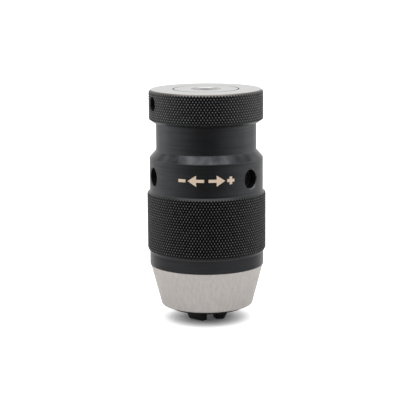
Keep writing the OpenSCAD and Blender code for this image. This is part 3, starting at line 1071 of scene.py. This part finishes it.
@dataclass
class NoseShell:
    """The satin conical nose, with the spigot that fits in the sleeve."""

    spigot_r: float = 21.9
    spigot_bore: float = 20.1
    shoulder_z: float = -74.1
    top_r: float = 23.9
    end_r: float = 19.4
    end_bevel: float = 0.35
    lip_r: float = 16.3
    lip_z: float = -89.75
    guide_r: float = 17.0
    guide_seat: float = -80.75

    def section(self, low: float, top: float) -> list[Point]:
        """Draw the shell's half section.

        Args:
            low: Height of the nose's end.
            top: Height of the spigot's end.

        Returns:
            The closed outline.
        """
        return outline([
            Corner(self.spigot_bore, top),
            Corner(self.spigot_r, top),
            Corner(self.spigot_r, self.shoulder_z),
            Corner(self.top_r, self.shoulder_z, 0.14),
            Corner(self.end_r, low + self.end_bevel, 0.3),
            Corner(self.end_r - self.end_bevel, low, 0.3),
            Corner(self.lip_r, low, 0.08),
            Corner(self.lip_r, self.lip_z),
            Corner(self.guide_r, self.lip_z),
            Corner(self.guide_r, self.guide_seat),
            Corner(self.spigot_bore, self.guide_seat),
        ])

    def build(self) -> None:
        """Turn and dress the shell."""
        _, low, top = extent("nose_shell")
        made = make_object("nose_cone", turned(self.section(low, top)))
        shade(made)
        dress(made, SATIN_STEEL)
        stand_for(made, "nose_shell", Part.SLEEVE.value)


def eased_copy(node: str, name: str, bevel: float) -> bpy.types.Object:
    """Copy a CAD node's shape and ease its sharp edges.

    Args:
        node: The node to copy.
        name: Name of the copy.
        bevel: Width of the eased edges, in millimetres.

    Returns:
        The copy, with a plain mesh.
    """
    work = bmesh.new()
    work.from_mesh(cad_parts[node].data)
    bmesh.ops.remove_doubles(work, verts=work.verts, dist=EASE_WELD * MM)
    bmesh.ops.dissolve_limit(work, angle_limit=math.radians(EASE_FLAT), verts=work.verts, edges=work.edges)
    bmesh.ops.recalc_face_normals(work, faces=work.faces)
    made = make_object(name, work)
    step = made.modifiers.new("ease", "BEVEL")
    step.width = bevel * MM
    step.segments = 2
    step.limit_method = "ANGLE"
    step.angle_limit = math.radians(EASE_SHARP)
    step.use_clamp_overlap = True
    settle(made)
    shade(made, EASE_SHADE)
    return made


@dataclass
class JawSet:
    """The three jaws and the guide that carries them."""

    count: int = 3
    land_reach: float = 3.0
    jaw_ease: float = 0.14
    guide_ease: float = 0.1
    bodies: tuple[str, ...] = ("jaw_a", "jaw_b", "jaw_c")

    def build_guide(self) -> None:
        """Dress the guide."""
        made = eased_copy("jaw_guide", "guide_block", self.guide_ease)
        dress(made, DARK_OXIDE)
        stand_for(made, "jaw_guide", Part.SLEEVE.value)

    def build_jaw(self, index: int) -> None:
        """Dress one jaw, with its ground land.

        Args:
            index: The jaw's number, from one.
        """
        node = f"jaw_{index}"
        made = eased_copy(node, f"dressed_jaw_{index}", self.jaw_ease)
        radius, _ = measure(made.data.polygons, "center")
        dress(made, JAW_STEEL, (LAND_STEEL, radius < self.land_reach))
        stand_for(made, node, self.bodies[index - 1])

    def build(self) -> None:
        """Dress the guide and every jaw."""
        self.build_guide()
        for index in range(self.count):
            self.build_jaw(index + 1)


@dataclass
class InnerDrive:
    """The screw, bearing, bushes, seal and dowels, whose CAD shapes stay."""

    balls: int = 18
    dowels: int = 3

    def build(self) -> None:
        """Finish every inner node."""
        finishes = {
            "spindle_screw": SCREW_STEEL, "upper_race": RACE_STEEL, "lower_race": RACE_STEEL,
            "ball_cage": CAGE_BRASS, "neck_bush": BUSH_BRONZE, "front_bush": BUSH_BRONZE,
            "neck_seal": SEAL_RUBBER,
        }
        finishes |= {f"ball_{i + 1}": BALL_STEEL for i in range(self.balls)}
        finishes |= {f"guide_dowel_{i + 1}": DOWEL_STEEL for i in range(self.dowels)}
        for node, finish in finishes.items():
            refinish(node, finish)


@dataclass
class DirectionMark:
    """A plain laser mark on the band: a minus, two arrows and a plus, for loosen and tighten."""

    r: float = 23.85
    z: float = -35.2
    azimuth: float = -90.0
    proud: float = 0.012
    sunk: float = 0.05
    step: float = 0.25
    bar: float = 0.62
    head: float = 2.3
    arm: float = 1.6

    def strips(self) -> list[list[tuple[float, float, float]]]:
        """List the mark's shapes as stations of distance along the band, low edge and high edge.

        Returns:
            One list of stations for each shape.
        """
        bar, head, arm = self.bar, self.head, self.arm
        arrow = [(0.9, -bar, bar), (4.2, -bar, bar), (4.2, -head, head), (7.8, 0.0, 0.0)]
        minus = [(-11.9, -bar, bar), (-8.7, -bar, bar)]
        plus = [
            (8.7, -bar, bar), (9.7, -bar, bar), (9.7, -arm, arm), (10.9, -arm, arm), (10.9, -bar, bar),
            (11.9, -bar, bar),
        ]
        back = [(-s, a, b) for s, a, b in reversed(arrow)]
        return [minus, back, arrow, plus]

    def filled(self, stations: list[tuple[float, float, float]]) -> list[tuple[float, float, float]]:
        """Add stations so that a shape can follow the band's curve.

        Args:
            stations: The shape's own stations.

        Returns:
            The stations with others between them.
        """
        full = [stations[0]]
        for (s0, a0, b0), (s1, a1, b1) in zip(stations, stations[1:]):
            count = max(1, math.ceil((s1 - s0) / self.step))
            for k in range(1, count + 1):
                t = k / count
                full.append((s0 + (s1 - s0) * t, a0 + (a1 - a0) * t, b0 + (b1 - b0) * t))
        return full

    def build(self) -> None:
        """Wrap the mark round the band as a thin closed inlay."""
        work = bmesh.new()
        for stations in self.strips():
            rings = []
            for s, low, high in self.filled(stations):
                angle = math.radians(self.azimuth) + s / self.r
                spot = []
                for radius, z in (
                    (self.r + self.proud, low), (self.r + self.proud, high),
                    (self.r - self.sunk, high), (self.r - self.sunk, low),
                ):
                    place = (radius * math.cos(angle), radius * math.sin(angle), self.z + z)
                    spot.append(work.verts.new([c * MM for c in place]))
                rings.append(spot)
            for ring, other in zip(rings, rings[1:]):
                for k in range(4):
                    work.faces.new([ring[k], ring[(k + 1) % 4], other[(k + 1) % 4], other[k]])
            work.faces.new(rings[0])
            work.faces.new(rings[-1])
        bmesh.ops.remove_doubles(work, verts=work.verts, dist=1e-7)
        bmesh.ops.recalc_face_normals(work, faces=work.faces)
        made = make_object("direction_mark", work)
        dress(made, LASER_TAN)
        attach(made, Part.SLEEVE.value)
        LOG.info("%s: %d faces", made.name, len(made.data.polygons))


# ---- Studio


@dataclass(frozen=True)
class Softbox:
    """A large soft light that faces the middle of the chuck.

    Args:
        name: Its name.
        place: Where it hangs.
        size: Its width and height.
        watts: Its power.
        aim: The point that it faces.
    """

    name: str
    place: tuple[float, float, float]
    size: tuple[float, float]
    watts: float
    aim: tuple[float, float, float] = (0.0, 0.0, -0.05)

    def hang(self) -> None:
        """Hang the light."""
        light = bpy.data.lights.new(self.name, "AREA")
        light.shape = "RECTANGLE"
        light.size, light.size_y = self.size
        light.energy = self.watts
        hung = bpy.data.objects.new(self.name, light)
        hung.location = self.place
        hung.rotation_euler = (Vector(self.aim) - Vector(self.place)).to_track_quat("-Z", "Y").to_euler()
        hung.visible_camera = False
        bpy.context.scene.collection.objects.link(hung)


@dataclass
class Studio:
    """A pale paper floor, a soft surround that is dim in front, softboxes and the camera, in metres."""

    floor_half: float = 0.95
    floor_front: float = -0.14
    floor_back: float = 1.7
    floor_tone: float = 0.88
    # floor_dim is painted shade: how much darker the floor looks in glossy reflections.
    floor_dim: float = 0.2
    # paper_glow and shadow_r set painted light on the floor that fades into a painted contact shadow round
    # the axis.
    paper_glow: tuple[float, float] = (0.04, 0.48)
    shadow_r: tuple[float, float] = (7.0, 22.0)
    front: float = 0.06
    rise: float = 1.05
    lift: float = 1.2
    surround: float = 1.2
    backdrop: float = 1.35
    lens: float = 126.3
    stand: tuple[float, float, float] = (0.0006, -0.6076, 0.0637)
    tilt: float = 10.66
    roll: float = -0.34
    softboxes: tuple[Softbox, ...] = (
        Softbox("top_softbox", (0.0, -0.1, 0.75), (1.05, 0.6), 3.3),
        Softbox("left_softbox", (-0.85, 0.3, 0.1), (0.4, 0.8), 0.6),
        Softbox("right_softbox", (0.85, 0.3, 0.1), (0.4, 0.8), 0.6),
    )

    def floor(self) -> None:
        """Lay the floor. Its paper glows for the camera only, as painted light that fades into a painted
        contact shadow near the axis, and glossy rays see it with painted shade.
        """
        work = bmesh.new()
        bmesh.ops.create_grid(work, x_segments=8, y_segments=8, size=0.5)
        for vert in work.verts:
            across, along = vert.co.x + 0.5, vert.co.y + 0.5
            vert.co.x = (2.0 * across - 1.0) * self.floor_half
            vert.co.y = self.floor_front + (self.floor_back - self.floor_front) * along
            vert.co.z = cad_box[0].z
        made = make_object("studio_floor", work)
        material = bpy.data.materials.new("studio_paper")
        material.use_nodes = True
        graph = Graph(material.node_tree)
        shader = material.node_tree.nodes["Principled BSDF"]
        rays = graph.add("ShaderNodeLightPath").outputs
        # Painted shade: glossy rays see a darker floor.
        dimmed = graph.math("MULTIPLY", rays["Is Glossy Ray"], self.floor_dim)
        graph.put(shader.inputs["Base Color"], graph.math("SUBTRACT", self.floor_tone, dimmed))
        where = graph.add("ShaderNodeTexCoord").outputs["Object"]
        grain = graph.math("MULTIPLY", graph.noise(where, GRAIN_SCALE), 0.1)
        graph.put(shader.inputs["Roughness"], graph.math("ADD", grain, 0.8))
        shader.inputs["Emission Color"].default_value = (1.0, 1.0, 1.0, 1.0)
        # Painted light for the camera, fading into a painted contact shadow round the axis.
        glow = graph.add("ShaderNodeMapRange", interpolation_type="SMOOTHSTEP")
        near, far = (r * MM for r in self.shadow_r)
        graph.feed(glow, Value=graph.reach(where), From_Min=near, From_Max=far)
        graph.feed(glow, To_Min=self.paper_glow[0], To_Max=self.paper_glow[1])
        seen = graph.math("MULTIPLY", rays["Is Camera Ray"], glow.outputs[0])
        graph.put(shader.inputs["Emission Strength"], seen)
        made.data.materials.append(material)

    def sky(self) -> None:
        """Set the surround: white where the camera sees it, and dimmer in front of the chuck."""
        world = bpy.data.worlds.new("surround")
        bpy.context.scene.world = world
        world.use_nodes = True
        world.node_tree.nodes.clear()
        graph = Graph(world.node_tree)
        parts = graph.add("ShaderNodeSeparateXYZ")
        graph.put(parts.inputs[0], graph.add("ShaderNodeTexCoord").outputs["Generated"])
        above = graph.math("MULTIPLY", graph.math("MAXIMUM", parts.outputs[2], 0.0), self.lift)
        behind = graph.math("ADD", parts.outputs[1], graph.math("ADD", above, 1.0))
        back = graph.math("MULTIPLY", behind, self.rise)
        lit = graph.math("MINIMUM", graph.math("ADD", back, self.front), self.surround)
        seen = graph.add("ShaderNodeLightPath").outputs["Is Camera Ray"]
        strength = graph.add("ShaderNodeMix", data_type="FLOAT")
        graph.put(strength.inputs["Factor"], seen)
        graph.put(strength.inputs["A"], lit)
        strength.inputs["B"].default_value = self.backdrop
        glow = graph.add("ShaderNodeBackground")
        graph.put(glow.inputs["Strength"], strength.outputs[0])
        graph.put(graph.add("ShaderNodeOutputWorld").inputs[0], glow.outputs[0])

    def camera(self) -> None:
        """Stand the camera."""
        lens = bpy.data.cameras.new("camera")
        lens.lens = self.lens
        lens.sensor_width = 36.0
        lens.clip_start = 0.01
        stood = bpy.data.objects.new("camera", lens)
        stood.location = self.stand
        level = Matrix.Rotation(math.radians(90.0 - self.tilt), 3, "X")
        stood.rotation_euler = (level @ Matrix.Rotation(math.radians(self.roll), 3, "Z")).to_euler()
        bpy.context.scene.collection.objects.link(stood)
        bpy.context.scene.camera = stood

    def build(self) -> None:
        """Set everything up."""
        self.floor()
        self.sky()
        for softbox in self.softboxes:
            softbox.hang()
        self.camera()
        bpy.context.scene.view_settings.view_transform = "Standard"
        LOG.info("studio: floor, surround, three softboxes and camera")


def main() -> None:
    """Set up the studio, then build every piece in order."""
    logging.basicConfig(level=logging.INFO, format="%(name)s: %(message)s")
    Studio().build()
    RearRing().build()
    ChuckBody().build()
    GripSleeve().build()
    NoseShell().build()
    JawSet().build()
    InnerDrive().build()
    DirectionMark().build()


if __name__ == "__main__":
    main()
